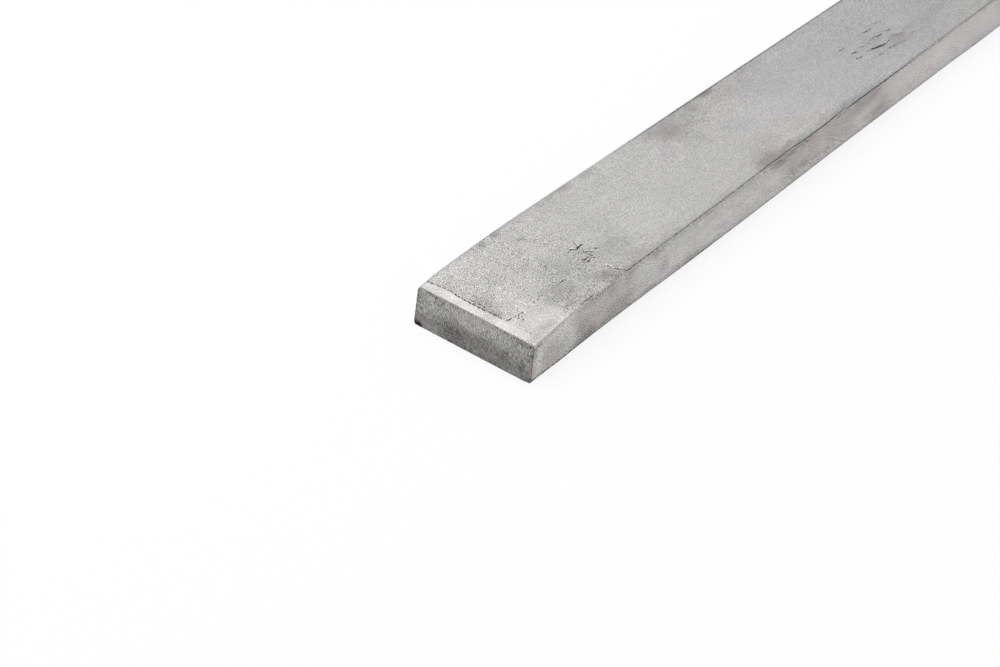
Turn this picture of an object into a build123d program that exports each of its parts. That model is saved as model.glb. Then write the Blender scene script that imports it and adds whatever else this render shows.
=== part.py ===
from build123d import *

import math
import os

# Hot-rolled flat bar: one piece of steel stock, cut to length on a bar shear.
#
# Frame, in millimetres: X along the length, Y across the width, Z up. The origin is the middle of
# the face that the bar lies on. A shear leaves the two halves of one cut on the two ends of a
# piece, so a half turn about the crosswise line through the bar's centre brings it onto itself.
#
# Each sheared end has four marks of the blade: the flat face sags down to the cut, it rolls over
# in a narrow band along the edge, the break leans back from there, and one corner is pulled in.

# Stock size
LENGTH = 500.0
WIDTH = 30.0
THICKNESS = 10.0
EDGE_RADIUS = 0.8  # the four long edges, as the rolls leave them

# Face that the blade pressed, from its flat down to the cut (angles in degrees)
SAG_RADIUS = 360.0  # long bend of the face towards the cut
SAG_ANGLE = 4.7  # slope that this bend reaches
CREASE_RADIUS = 2.5  # tight bend between the sag and the band
BAND_ANGLE = 13.0  # slope of the rolled-over band
BAND_WIDTH = 1.8  # its straight part, up to the edge of the cut
CUT_EDGE_RADIUS = 0.15  # rounding between the band and the break

# Break, and the corner that the blade pulled in
BREAK_LEAN = 11.0  # angle of the broken face from square
PULL_RADIUS = 2.0  # rounding of the pulled-in corner
PULL_DEPTH = 1.5  # height on the side face where that rounding starts, below the edge of the cut
PULL_RUN = 5.0  # length along the bar over which it fades into the long edge

TRIM = 4.0  # stock beyond each cut, which the break takes off

SAG = math.radians(SAG_ANGLE)
BAND = math.radians(BAND_ANGLE)
LEAN = math.radians(BREAK_LEAN)

# Pressed face, from its flat to the edge of the cut
PRESSED_RUN = (
    SAG_RADIUS * math.sin(SAG)
    + CREASE_RADIUS * (math.sin(BAND) - math.sin(SAG))
    + BAND_WIDTH * math.cos(BAND)
)
PRESSED_DROP = (
    SAG_RADIUS * (1 - math.cos(SAG))
    + CREASE_RADIUS * (math.cos(SAG) - math.cos(BAND))
    + BAND_WIDTH * math.sin(BAND)
)
CUT_HEIGHT = THICKNESS - PRESSED_DROP  # edge of the cut above the opposite face
CUT_SETBACK = CUT_HEIGHT * math.tan(LEAN)  # edge of the cut behind the foot of the break
SAG_LENGTH = CUT_SETBACK + PRESSED_RUN  # start of the sag, from the foot of the break
NEAR_END = -LENGTH / 2  # foot of the near end's break

# Line that the half turn is about: in the bar's frame, and seen end on in its side view
TURNING_LINE = Axis((0, 0, THICKNESS / 2), (0, 1, 0))
SIDE_TURNING_LINE = Axis((0, THICKNESS / 2), (0, 0, 1))


def turned_over(shape, line=TURNING_LINE):
    """The same shape at the other end of the bar."""
    return shape.rotate(line, 180)


def sag_drop(distance):
    """Depth of the sag at a distance along the bar from the foot of the break."""
    run = max(0.0, SAG_LENGTH - distance)
    return SAG_RADIUS - math.sqrt(SAG_RADIUS**2 - run**2)


def pressed_face():
    """Side view of the near end's pressed face: sag, crease, and the band run on past the cut."""
    sag = JernArc((NEAR_END + SAG_LENGTH, THICKNESS), (-1, 0), SAG_RADIUS, SAG_ANGLE)
    crease = JernArc(sag @ 1, sag % 1, CREASE_RADIUS, BAND_ANGLE - SAG_ANGLE)
    band = Line(crease @ 1, crease @ 1 + (crease % 1) * (BAND_WIDTH + TRIM))
    return [sag, crease, band]


def side_view():
    """Outline of the bar before its ends are broken off."""
    near = pressed_face()
    far = [turned_over(curve, SIDE_TURNING_LINE) for curve in near]
    near_tip = near[-1] @ 1
    far_tip = far[-1] @ 1
    near_foot = (near_tip.X, 0)
    far_foot = (far_tip.X, THICKNESS)
    underside = Polyline(near_tip, near_foot, far[0] @ 0)
    top = Polyline(far_tip, far_foot, near[0] @ 0)
    return make_face([*near, underside, *far, top])


def runs_lengthwise(edge):
    """True for the long edges, and not for those across the bar or up its ends."""
    span = edge @ 1 - edge @ 0
    return abs(span.X) > abs(span.Y) + abs(span.Z)


def rolled_blank():
    """The bar with its pressed faces and its rounded long edges."""
    blank = extrude(Plane.XZ * side_view(), WIDTH / 2, both=True)
    return fillet(blank.edges().filter_by(runs_lengthwise), EDGE_RADIUS)


def broken_off():
    """Stock that the break takes off the near end, hollowed where it rounds the edge of the cut."""
    up = Vector(math.sin(LEAN), math.cos(LEAN))
    cut_edge = Vector(NEAR_END + CUT_SETBACK, CUT_HEIGHT)
    turn = 90 - BREAK_LEAN - BAND_ANGLE
    tangent = CUT_EDGE_RADIUS * math.tan(math.radians(turn / 2))
    rounding = JernArc(cut_edge - up * tangent, up, CUT_EDGE_RADIUS, -turn)
    foot = cut_edge - up * (CUT_HEIGHT + TRIM)
    outline = Polyline(
        rounding @ 1,
        rounding @ 1 + Vector(0, 2 * TRIM),
        (NEAR_END - 2 * TRIM, THICKNESS + TRIM),
        (NEAR_END - 2 * TRIM, foot.Y),
        foot,
        rounding @ 0,
    )
    return extrude(Plane.XZ * make_face([rounding, outline]), WIDTH, both=True)


def pulled_corner():
    """What the pull takes off the near end's corner: all outside a round that leans along the bar."""
    at_cut = Vector(NEAR_END, WIDTH / 2 - PULL_RADIUS, CUT_HEIGHT - PULL_DEPTH)
    # here the round meets the middle of the long edge's smaller one, and no longer cuts it
    inset = EDGE_RADIUS + (PULL_RADIUS - EDGE_RADIUS) * math.sqrt(0.5)
    top = THICKNESS - sag_drop(PULL_RUN)
    faded = Vector(NEAR_END + PULL_RUN, WIDTH / 2 - inset, top - inset)
    section = Pos(PULL_RADIUS, PULL_RADIUS) * Rectangle(2 * PULL_RADIUS, 2 * PULL_RADIUS)
    section -= Circle(PULL_RADIUS)
    section = Plane(at_cut, x_dir=(0, 1, 0), z_dir=faded - at_cut) * section
    return extrude(section, (faded - at_cut).length + TRIM) + extrude(section, -TRIM)


def flat_bar():
    """The finished bar."""
    bar = rolled_blank()
    for waste in (broken_off(), pulled_corner()):
        bar -= waste
        bar -= turned_over(waste)
    return bar


def main():
    os.makedirs("parts", exist_ok=True)
    export_step(flat_bar(), "parts/flat_bar.step")


main()
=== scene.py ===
"""Looks of a hot-rolled and pickled steel flat bar with sheared ends, lying on a studio floor.

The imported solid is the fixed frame. The bar's skin is modelled over it as a closed mesh with what
rolling, handling and the shear left on the real one: sagged, rolled-over and torn ends, a lap seam
along one long edge, scratches and pits. Its steel is procedural.

Lengths are in metres, and MM turns a real size in millimetres into metres. Marks are listed in
millimetres: "along" is the distance from the near end, whose upper face the blade pressed, "across"
is the bar's Y, and "height" is above the face that the bar lies on.
"""

import math

import bmesh
import bpy
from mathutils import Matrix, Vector, noise


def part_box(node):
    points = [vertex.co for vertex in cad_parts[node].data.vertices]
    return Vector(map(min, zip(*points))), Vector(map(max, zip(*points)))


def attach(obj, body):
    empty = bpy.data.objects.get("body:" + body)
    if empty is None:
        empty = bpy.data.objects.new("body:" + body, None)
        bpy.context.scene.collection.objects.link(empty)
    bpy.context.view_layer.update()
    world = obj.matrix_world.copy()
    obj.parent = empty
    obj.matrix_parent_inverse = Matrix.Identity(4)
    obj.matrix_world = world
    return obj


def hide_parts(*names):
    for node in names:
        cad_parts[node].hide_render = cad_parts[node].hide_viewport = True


bl_info = {
    "name": "Pickled flat bar",
    "version": (1, 0, 0),
    "blender": (4, 5, 0),
    "location": "3D View > Sidebar > Flat bar",
    "description": "Models the skin of a sheared steel flat bar and the studio that it lies in",
    "category": "Object",
}

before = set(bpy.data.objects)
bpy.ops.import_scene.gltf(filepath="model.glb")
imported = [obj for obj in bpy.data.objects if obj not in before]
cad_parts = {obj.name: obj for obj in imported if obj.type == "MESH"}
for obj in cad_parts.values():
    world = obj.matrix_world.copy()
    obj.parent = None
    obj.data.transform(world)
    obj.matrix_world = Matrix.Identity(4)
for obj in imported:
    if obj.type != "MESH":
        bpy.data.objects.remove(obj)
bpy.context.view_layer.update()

MM = 0.001
NODE = "flat_bar"
BODY = "root"

bar_low, bar_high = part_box(NODE)
middle = (bar_low + bar_high) / 2
LENGTH = bar_high.x - bar_low.x
WIDTH = bar_high.y - bar_low.y
THICKNESS = bar_high.z - bar_low.z
HALF_WIDTH = WIDTH / 2


def linear(hex_colour):
    """The linear colour of an sRGB hex value such as "C8C7C4"."""
    channels = []
    for start in (0, 2, 4):
        value = int(hex_colour[start : start + 2], 16) / 255
        channels.append(value / 12.92 if value <= 0.04045 else ((value + 0.055) / 1.055) ** 2.4)
    return channels


def length_property(name, description, millimetres):
    """A length that a user may change, given in millimetres."""
    return bpy.props.FloatProperty(
        name=name, description=description, default=millimetres * MM, unit="LENGTH", precision=5
    )


def angle_property(name, description, degrees):
    """An angle that a user may change, given in degrees."""
    return bpy.props.FloatProperty(
        name=name, description=description, default=math.radians(degrees), subtype="ANGLE"
    )


def colour_property(name, description, hex_colour):
    """A colour that a user may change, given as an sRGB hex value."""
    colour = (*linear(hex_colour), 1.0)
    return bpy.props.FloatVectorProperty(
        name=name, description=description, default=colour, subtype="COLOR", size=4, min=0.0, max=1.0
    )


def amount_property(name, description, default, top=1.0):
    """A plain number from nothing to top that a user may change."""
    return bpy.props.FloatProperty(
        name=name, description=description, default=default, min=0.0, max=top
    )


class BarShape(bpy.types.PropertyGroup):
    """Sizes of the bar's rounded edges and sheared ends, and the depth of its marks."""

    edge_radius: length_property("Long edge", "Rounding of the four long edges", 0.8)
    sag_radius: length_property("Sag", "Radius of the bend of the pressed face towards the cut", 360.0)
    sag_slope: angle_property("Sag slope", "Slope that the sag reaches", 4.7)
    crease_radius: length_property("Crease", "Radius of the bend between the sag and the band", 2.5)
    band_slope: angle_property("Band slope", "Slope of the rolled-over band", 13.0)
    band_width: length_property("Band", "Straight width of the rolled-over band", 1.8)
    cut_radius: length_property("Cut edge", "Rounding between the band and the break", 0.15)
    foot_radius: length_property("Foot", "Rounding between the break and the opposite face", 0.06)
    break_lean: angle_property("Break lean", "Angle of the broken face from square", 11.0)
    pull_radius: length_property("Pulled corner", "Rounding of the corner that the blade pulled in", 2.0)
    pull_depth: length_property("Pull depth", "Start of that rounding below the edge of the cut", 1.5)
    pull_run: length_property("Pull run", "Length over which that rounding fades out", 5.0)
    facet_run: length_property("Facet", "Length of the straight slope beside the right edge", 14.6)
    facet_slope: angle_property("Facet slope", "Slope of that straight part", 7.1)
    facet_bend: length_property("Facet bend", "Half length of the bend at its start", 4.0)
    bulge_run: length_property("Bulge", "Length over which the cut squares the lower corner", 14.0)
    torn_relief: length_property("Torn relief", "Height of the roughness of the torn part", 0.11)
    wave: length_property("Waviness", "Height of the long, low waves of the rolled faces", 0.05)
    seam_depth: length_property("Seam", "Depth of the lap seam along the long edge", 0.22)
    scratch_depth: length_property("Scratches", "Depth of the deepest scratch or pit", 0.12)


class BarFinish(bpy.types.PropertyGroup):
    """Colours and texture of the steel."""

    light_steel: colour_property("Light steel", "Cleanest pickled steel", "E2E1DF")
    dark_steel: colour_property("Dark steel", "Darkest pickled steel, in the hollows of the grain", "A09F9D")
    oxide: colour_property("Oxide", "Brown oxide that the pickling left", "85786C")
    blush: colour_property("Blush", "Pinkish oxide film", "AD989C")
    haze: colour_property("Haze", "Bluish oxide film", "9E97AC")
    # This colour also paints shadow along the foot of the edge face and under the burr at the edge of the
    # cut
    dirt: colour_property("Dirt", "Black scale in pits, scratches and the seam", "1C1A19")
    rubbed: colour_property("Rubbed steel", "Steel that the blade rubbed smooth", "D6D5D3")
    cut_steel: colour_property("Cut steel", "Upper part of the break, which the blade sheared", "B1B0AD")
    torn_steel: colour_property("Torn steel", "Lower part of the break, which tore off", "7B7A78")
    grain_size: length_property("Grain", "Size of the grain that the pickling leaves", 0.17)
    grain_height: length_property("Grain height", "Height of that grain", 0.02)
    roughness: amount_property("Roughness", "Roughness of the pickled faces", 0.5)
    rubbed_roughness: amount_property("Rubbed roughness", "Roughness where the blade rubbed", 0.45)
    torn_roughness: amount_property("Torn roughness", "Roughness of the break", 0.62)


class StudioSetup(bpy.types.PropertyGroup):
    """Floor, light and camera."""

    floor_colour: colour_property("Floor", "Colour of the floor", "F7F7F7")
    dome_level: amount_property("Dome level", "Brightness of the light from all round", 0.58, 4.0)
    key_watts: amount_property("Overhead lamp", "Power of the overhead soft lamp in watts", 4.6, 1000.0)
    focal_length: bpy.props.FloatProperty(
        name="Focal length", description="Camera's focal length", default=64.68, unit="CAMERA"
    )


# Rows of the skin's mesh, in millimetres: how far along the bar they go, and their spacing
BAR_END = LENGTH / MM
ROW_ZONES = (
    (0.2, 0.05),
    (5, 0.25),
    (36, 0.45),
    (160, 1),
    (BAR_END - 36, 4),
    (BAR_END - 5, 1),
    (BAR_END - 0.3, 0.3),
    (BAR_END, 0.1),
)
COLUMN_SPACING = 0.5 * MM
CORNER_SEGMENTS = 7
SEAM_CORNER_SEGMENTS = 12
FOOT_STATIONS = (0.02, 0.06, 0.15, 0.4)  # millimetres above the foot of a break

# Rectangles of the upper face whose mesh is made finer for small marks: near and right corner, far
# and left corner, and the cuts of each edge
FINE_AREAS = (
    (2.4, -7.8, 8.2, 14.6, 1),
    (10.2, -8, 20.6, -5.8, 2),
    (26.2, -8, 34, 3, 2),
    (28.4, -14.2, 31.4, -9.6, 2),
    (133, -9, 155, 2.5, 3),
    (3.2, -12.6, 4.8, -9.2, 2),
    (36, -14.9, 160, -14.1, 1),
)

# The marks are listed as far as this, and fade out over the next stretch. From there on drifts of
# cloud and film stand for them
LISTED_END = 185.0
LISTED_FADE = 20.0

# Clouds and films of the upper face, in layers of patches. A patch is a soft-edged oval: along,
# across, half length, half width, strength in percent, and its turn in degrees where it has one.
# More shade is darker, and calm weakens the grain. The broad shade patches over the near end and by
# the near right corner are painted shade, where the sloping sag and facet catch more light
UPPER_PATCHES = {
    "shade": (
        (4, 7, 12, 9, 10), (4, -0.4, 3.4, 5.4, 27), (7, -11, 7, 5.5, 12), (17, -5, 20, 13, 6),
        (12, 2, 34, 24, 14), (20, -9, 26, 8, 5), (47, 10.5, 14, 7, 7), (19, -10.4, 2, 2, 10),
        (74, 12.2, 3, 2.6, 18), (118, -14.2, 14, 1.6, 26), (127, 13.4, 10, 2, 12), (160, -8.4, 8, 1.4, 10),
        (148.5, -5.6, 4.4, 2, -10), (2, 12, 3.2, 7, 30), (2, 4.5, 2.2, 2.4, 25), (2.2, -2.5, 2, 3.4, 35),
        (5.2, -13.9, 5.6, 2.2, 50), (30, -14, 4, 1.8, 18), (3.6, -4.6, 1.6, 3, 20), (15, -13.5, 4.2, 2, 30),
        (38, -4, 5, 10, 6), (22.5, -1, 8, 3, 6), (19, 7, 4, 2.6, -7), (3.8, -0.9, 1.5, 2, 6),
        (3.6, -13.2, 2.2, 2.2, 12), (44, -13.6, 16, 1.8, 18), (5.5, -10, 2.2, 2.2, 10),
        (13, -10, 2.6, 2, 8), (9, -6.2, 5, 3.4, -14), (10.2, 11.6, 2, 3.4, -12), (36, -12.6, 7, 2.4, 18),
        (29, -12.4, 3.4, 3, 8), (25, -9, 3, 3, 10), (39, 13.2, 6, 2.2, 12), (70, 7, 5, 2.8, -14),
        (82.5, 8, 4, 4, 12), (96, 1.6, 8, 4, -8), (72, -2, 4, 4, 8), (105, -13.4, 18, 1.4, 16),
        (151, -2, 2.6, 1.4, 16), (12, 3.5, 3.5, 2.5, 10), (7.6, 3, 2.6, 2, 10), (5, -11.2, 2.4, 1.6, 12),
        (30.7, -6.4, 2.2, 1.8, 14), (28.8, -2, 3, 1.8, 14), (30.6, -11, 2.2, 2.4, 8),
        (23.4, -6.6, 2.4, 1.8, 8), (33.6, 13.2, 2.4, 1.8, 10), (40.4, -8.6, 4, 2.6, 7),
        (25.4, 2, 2.6, 2.4, -12), (37.2, 2.6, 2.4, 2, -10), (10.4, -2.6, 2.4, 1.8, -10),
        (3.8, 9, 2, 2.6, -8), (45, 7.2, 3.6, 2, -6), (64.4, -2.4, 3, 2.2, -6), (68, -10.4, 4, 2.2, -6),
        (59, 6, 5, 4, 6), (15.8, -9.2, 4.5, 6, 22), (21.5, -3, 5, 4.5, 13), (24.5, -6, 5, 2.2, 14),
        (35.5, -8.6, 5.5, 6, 19), (26.5, -12.5, 4, 3.5, 10), (19.5, 13.4, 2, 1.5, 30),
        (23.5, 13.6, 1.6, 1.3, 25), (25.5, 8.2, 1.4, 1.1, 22), (31, 11.5, 5, 2.5, -14),
        (22.5, 4.8, 5, 3.2, -14), (47, 3.5, 9, 3.5, -7), (46, -8, 4, 5, -8), (43, 13.8, 7, 1.6, 16),
        (54, 13.7, 4, 1.8, 26), (72, 4, 5, 5.5, -7), (80.5, 5, 5, 3, 14), (106, 11, 20, 6, 14),
        (88, -9, 8, 4, 10), (155, -5.6, 9, 1.2, 18), (76, 12, 5, 4, 9), (82, 10.5, 9, 5, 17, 20),
        (88, 9.5, 7, 4.5, 18, 20), (91, 14.2, 14, 1.8, 30), (114, 13.6, 8, 2.4, 20), (84, -14, 8, 2.8, 38),
        (92.5, -14, 7, 2, 34), (67, -13.6, 10, 1.8, 10), (109, -14.6, 12, 1.3, 14), (110, 4.5, 7, 5, 10),
        (132, 0.4, 5, 1.4, 8), (128, 0, 60, 30, -13), (103, -4, 9, 5, -5), (146.3, -2.3, 1.6, 1.2, 22),
        (150.5, -5.4, 2.6, 1.4, 22), (153, -8.2, 6, 1.1, 20), (153.6, 1, 4, 1.2, 8), (146, 4.8, 1.4, 1, 14),
        (166, -7, 11, 1.2, 14), (170, -5.4, 9, 1, 14),
    ),
    "oxide": (
        (6.5, 1.8, 3, 2.4, 12, 30), (26.2, -12, 3, 2.5, 28), (79, 9, 6, 5.5, 16, 30),
        (98, 14.4, 5.5, 2.2, 50), (84, -13, 8, 3.6, 5), (148.5, -6.4, 5, 3, 27),
    ),
    "blush": (
        (79, 11, 6, 4.5, 34, 20), (90, 12, 2.4, 2, 45), (84, -13, 8, 3.6, 30), (28, -13.8, 3, 1.4, 10),
        (37.6, -14, 2.4, 1.2, 14), (65.4, -14.2, 3, 1.4, 16), (71.5, 5.8, 5, 2.2, 6, 30),
        (16, 13.6, 2, 1.6, 20), (30.5, 13.4, 3, 2, 25), (46.2, 13.2, 2.8, 2.2, 38),
    ),
    "calm": ((11, -10, 9, 6, 28), (8, -13.6, 8, 1.6, 20), (12, -3, 6, 5, 20), (22, -11, 8, 5, 22)),
    "haze": (
        (138, 0, 62, 26, 17), (71.5, 6, 6, 3, 15, 30), (80, 13, 8, 3, 16), (92, 0, 6, 5, 10),
        (30, 14.6, 34, 1.2, 16),
    ),
    "dirt": (
        (5.4, 0.5, 2.4, 5, 24), (5, 9, 2.2, 6, 20), (11, 2.4, 3, 2, 20), (18, 1.8, 3.2, 1.6, 20),
        (21, 6.2, 3.4, 1.8, 10), (18.5, 13.3, 3.2, 1.3, 30), (24, 13.6, 3, 1.2, 34),
        (25.5, 8.2, 2, 1.2, 30), (17, 7, 13, 10, 10), (5.6, -8.4, 1.8, 1.8, 28), (27, -13, 4.5, 2.2, 26),
        (21, -13.8, 5, 1, 26), (29.5, -4.8, 4.8, 3.6, 18), (143, -4, 9, 5, 14),
    ),
}

# The same on the right edge face, where the second number is the height
EDGE_PATCHES = {
    "shade": (
        (7, 5, 9, 7, 17), (5, 1.8, 4, 1.8, 24), (2.2, 7.8, 2.8, 2, 26), (9, 9.3, 11, 1.6, 6),
        (5.5, 4.4, 2.4, 2.6, 6), (16.4, 5, 2.6, 2.2, 26), (36.5, 3.6, 3.4, 2.4, 12), (64, 9.9, 14, 1.4, 24),
        (81, 9.7, 5, 1.8, 26), (82, 3.2, 3.6, 2, 10), (116, 3.4, 5, 2.2, 12), (138, 2.8, 12, 1.8, 10),
        (33.5, 9.2, 3.4, 2, 10), (53, 1.4, 7, 1.4, 12), (61, 1.5, 4.4, 1.4, 20), (76, 6, 8, 6, 6),
        (1.2, 6.5, 1.8, 3.6, 40), (6, 4.5, 3, 3.5, 12), (9.4, 3.6, 2.8, 2.6, 18), (14, 7.8, 3, 2.2, 16),
        (13, 2, 5, 1.8, 16), (15.2, 2.4, 2.8, 3.4, 30), (23.5, 4.5, 12, 9, 16), (18, 2.6, 3.8, 3, 28),
        (21.5, 7, 5, 2.4, -12), (2.6, 9.6, 2.6, 1.2, 40), (115, 3.6, 34, 3, 6), (81, 7, 8, 3.6, 6),
        (55, 7, 7, 3.6, 4), (17, 9.7, 4, 1.6, 24), (33, 9.7, 6, 1.6, 20), (4.4, 4.2, 3, 2, 10),
        (11, 4, 3.6, 2.6, 11), (5.2, 7, 2.6, 1.4, 8), (25.4, 5.4, 2.6, 1.8, -16), (35, 6, 5, 5, 5),
        (70, 7.6, 8, 3, 6), (33, 3.4, 3.4, 2.6, 10), (72, 9.7, 6, 1.6, 14), (92, 9.8, 4, 1.4, 24),
        (74.5, 3.6, 4, 1.6, -10), (17.2, 1.6, 3, 1.2, -10), (58.5, 2.2, 3, 1.5, -24),
        (43.8, 1.6, 2.8, 1.3, -14), (57.6, 8.6, 2.4, 1.8, -12), (68, 1.8, 3, 1.2, -8),
        (28.5, 5, 1.8, 1.6, 16), (15.6, 5, 2, 1.6, 12), (22.6, 2.2, 2.6, 1.4, 10),
        (41.2, 8.2, 2.4, 1.8, 14), (45.2, 9, 2.2, 1.6, 10), (20.4, 9.2, 3.6, 1.6, 10), (54, 6, 3.2, 2, 10),
        (30.4, 7.4, 1.8, 1.6, 8), (87, 7.8, 3, 2, 10), (122.2, 2.8, 2, 2, 14), (125.4, 9.4, 4, 1.6, 10),
        (144, 3, 6, 1.8, 7), (127.4, 4, 2, 1.6, -10), (95, 1.4, 22, 1.4, -10), (101, 8.2, 4, 2, -19),
        (95, 5.8, 3.4, 2.8, -27), (103.7, 4.2, 4.4, 2.8, -17), (84.2, 5.2, 4, 2.4, -17),
        (127.8, 5, 4.4, 3.4, 20), (116, 6.4, 4, 1.8, 8), (84.4, 9, 3.4, 2, 24), (157, 6.8, 10, 4, -15),
        (179, 7, 8, 4, -12), (27.2, 2.8, 4.4, 3.4, 28), (30.8, 3.2, 3, 3.4, 40), (25.3, 8.6, 3, 2, 12),
        (19, 8.8, 4, 2, 22), (31.2, 8.4, 2.8, 2.4, 34), (52, 5, 28, 9, 9), (38, 5, 7, 8, 10),
        (41, 9.6, 4.6, 1.7, 40), (43, 5, 1.8, 3, 28), (38.5, 1.6, 4.5, 1.6, 20), (47, 7.8, 7, 3, 10),
        (52, 9.6, 10, 1.6, 22), (72, 7.2, 6, 4, 10), (55, 1.8, 9, 2.4, 20), (75, 2.2, 12, 2.4, 22),
        (86.5, 9.6, 7, 2.2, 40), (92, 8, 13, 5, 36), (96, 9.8, 5, 1.4, 25), (95, 9, 3, 1.8, 12),
        (100, 2.5, 3, 2, 12), (117, 9.6, 5, 1.8, 10), (93, 3, 13, 5, 36), (91.8, 2.8, 2.8, 3, 20),
        (105.5, 5, 4, 5, 15), (113.5, 4.6, 4, 4, 16), (101, 9, 6, 2.4, 34), (107, 5, 10, 7, 20),
        (103.6, 5.4, 3.6, 2.4, -20, -20), (118, 9, 16, 3.2, 38), (121, 8, 10, 3, 16),
        (119.5, 4, 4.5, 2.4, -14), (127, 2.6, 5.5, 3.4, 42), (131.2, 2.4, 2.6, 3, 30),
        (157, 6.4, 46, 6, -20), (172, 1.6, 16, 1.8, 12),
    ),
    "oxide": (
        (22, 5.6, 11, 6.5, 30), (18.8, 2.6, 3, 1.8, 26), (25.6, 4.4, 1.8, 1.6, 14), (15, 7, 2.6, 4, 14),
        (27, 8.8, 4, 2, 14), (1, 2.4, 1.6, 2.6, 24), (8, 2, 1.6, 1.6, 10), (95.2, 3.8, 3, 2, 30, -20),
        (150, 6.5, 90, 6, 13),
    ),
    "blush": (
        (23, 6, 11, 6, 14), (100, 5, 40, 9, 7), (6.4, 4, 3, 4, 34, -30), (8.4, 2.2, 1.9, 1.6, 40),
        (0.5, 2.4, 1.5, 2.2, 45), (5, 8.4, 2.2, 1.8, 16), (32, 6.4, 3.4, 6, 18), (33.8, 3.6, 2.2, 4.4, 14),
        (38.6, 9.6, 3.2, 1.6, 28), (43, 2.4, 4.5, 1.7, 16, -30), (47.2, 1.2, 2.6, 1.3, 28),
        (50.6, 2.4, 2.2, 1.3, 26, -30), (58, 8.6, 3, 2.4, 24, -35), (61.4, 7.6, 3.4, 2.2, 32),
        (70.5, 4.8, 4, 2, 17, -30), (58.8, 2.4, 2.6, 1.4, 12, -30), (63.6, 3.8, 2.2, 1.8, 20),
        (66.5, 8.6, 3.6, 3, 18, -35), (66.2, 2, 4.4, 1.6, 12, -20), (74, 2.8, 2.6, 1.8, 16),
        (77.5, 7.6, 5, 3, 14, -30), (84, 5.6, 6, 4, 8, -30), (93, 7.5, 7, 4, 18, -30),
        (100, 6.5, 5.4, 3.4, 24, -30), (104, 8, 8, 4, 10), (104.6, 3.4, 3, 1.4, 30, -30),
        (121.6, 3.8, 1.8, 1.5, 30), (126, 8.4, 3.6, 2.4, 26, -30), (129.8, 4.9, 2, 1.8, 40, -20),
        (151.5, 3.8, 3, 1.6, 22, -30), (161.6, 4.4, 5, 1.6, 22, -30), (150, 6, 70, 9, 16),
    ),
    "haze": (
        (168, 1.6, 30, 3, 12), (43.6, 2.4, 4.6, 1.8, 16, -30), (65.4, 2.6, 5, 1.9, 18, -20),
        (58.6, 2, 2.6, 1.4, 10), (150, 5, 80, 10, 5),
    ),
    "dirt": (
        (5.6, 9.4, 4.2, 0.9, 34), (0.4, 5.5, 0.8, 7, 30), (18, 2, 4, 2.2, 24), (26, 2.6, 6, 2.6, 22),
        (6.4, 8.8, 3, 1, 34), (2.9, 8.1, 2, 0.6, 60, 8), (25, 9.4, 8, 0.9, 32), (16, 1.5, 16, 1.3, 30),
        (44, 1.4, 10, 0.9, 30),
    ),
}

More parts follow.
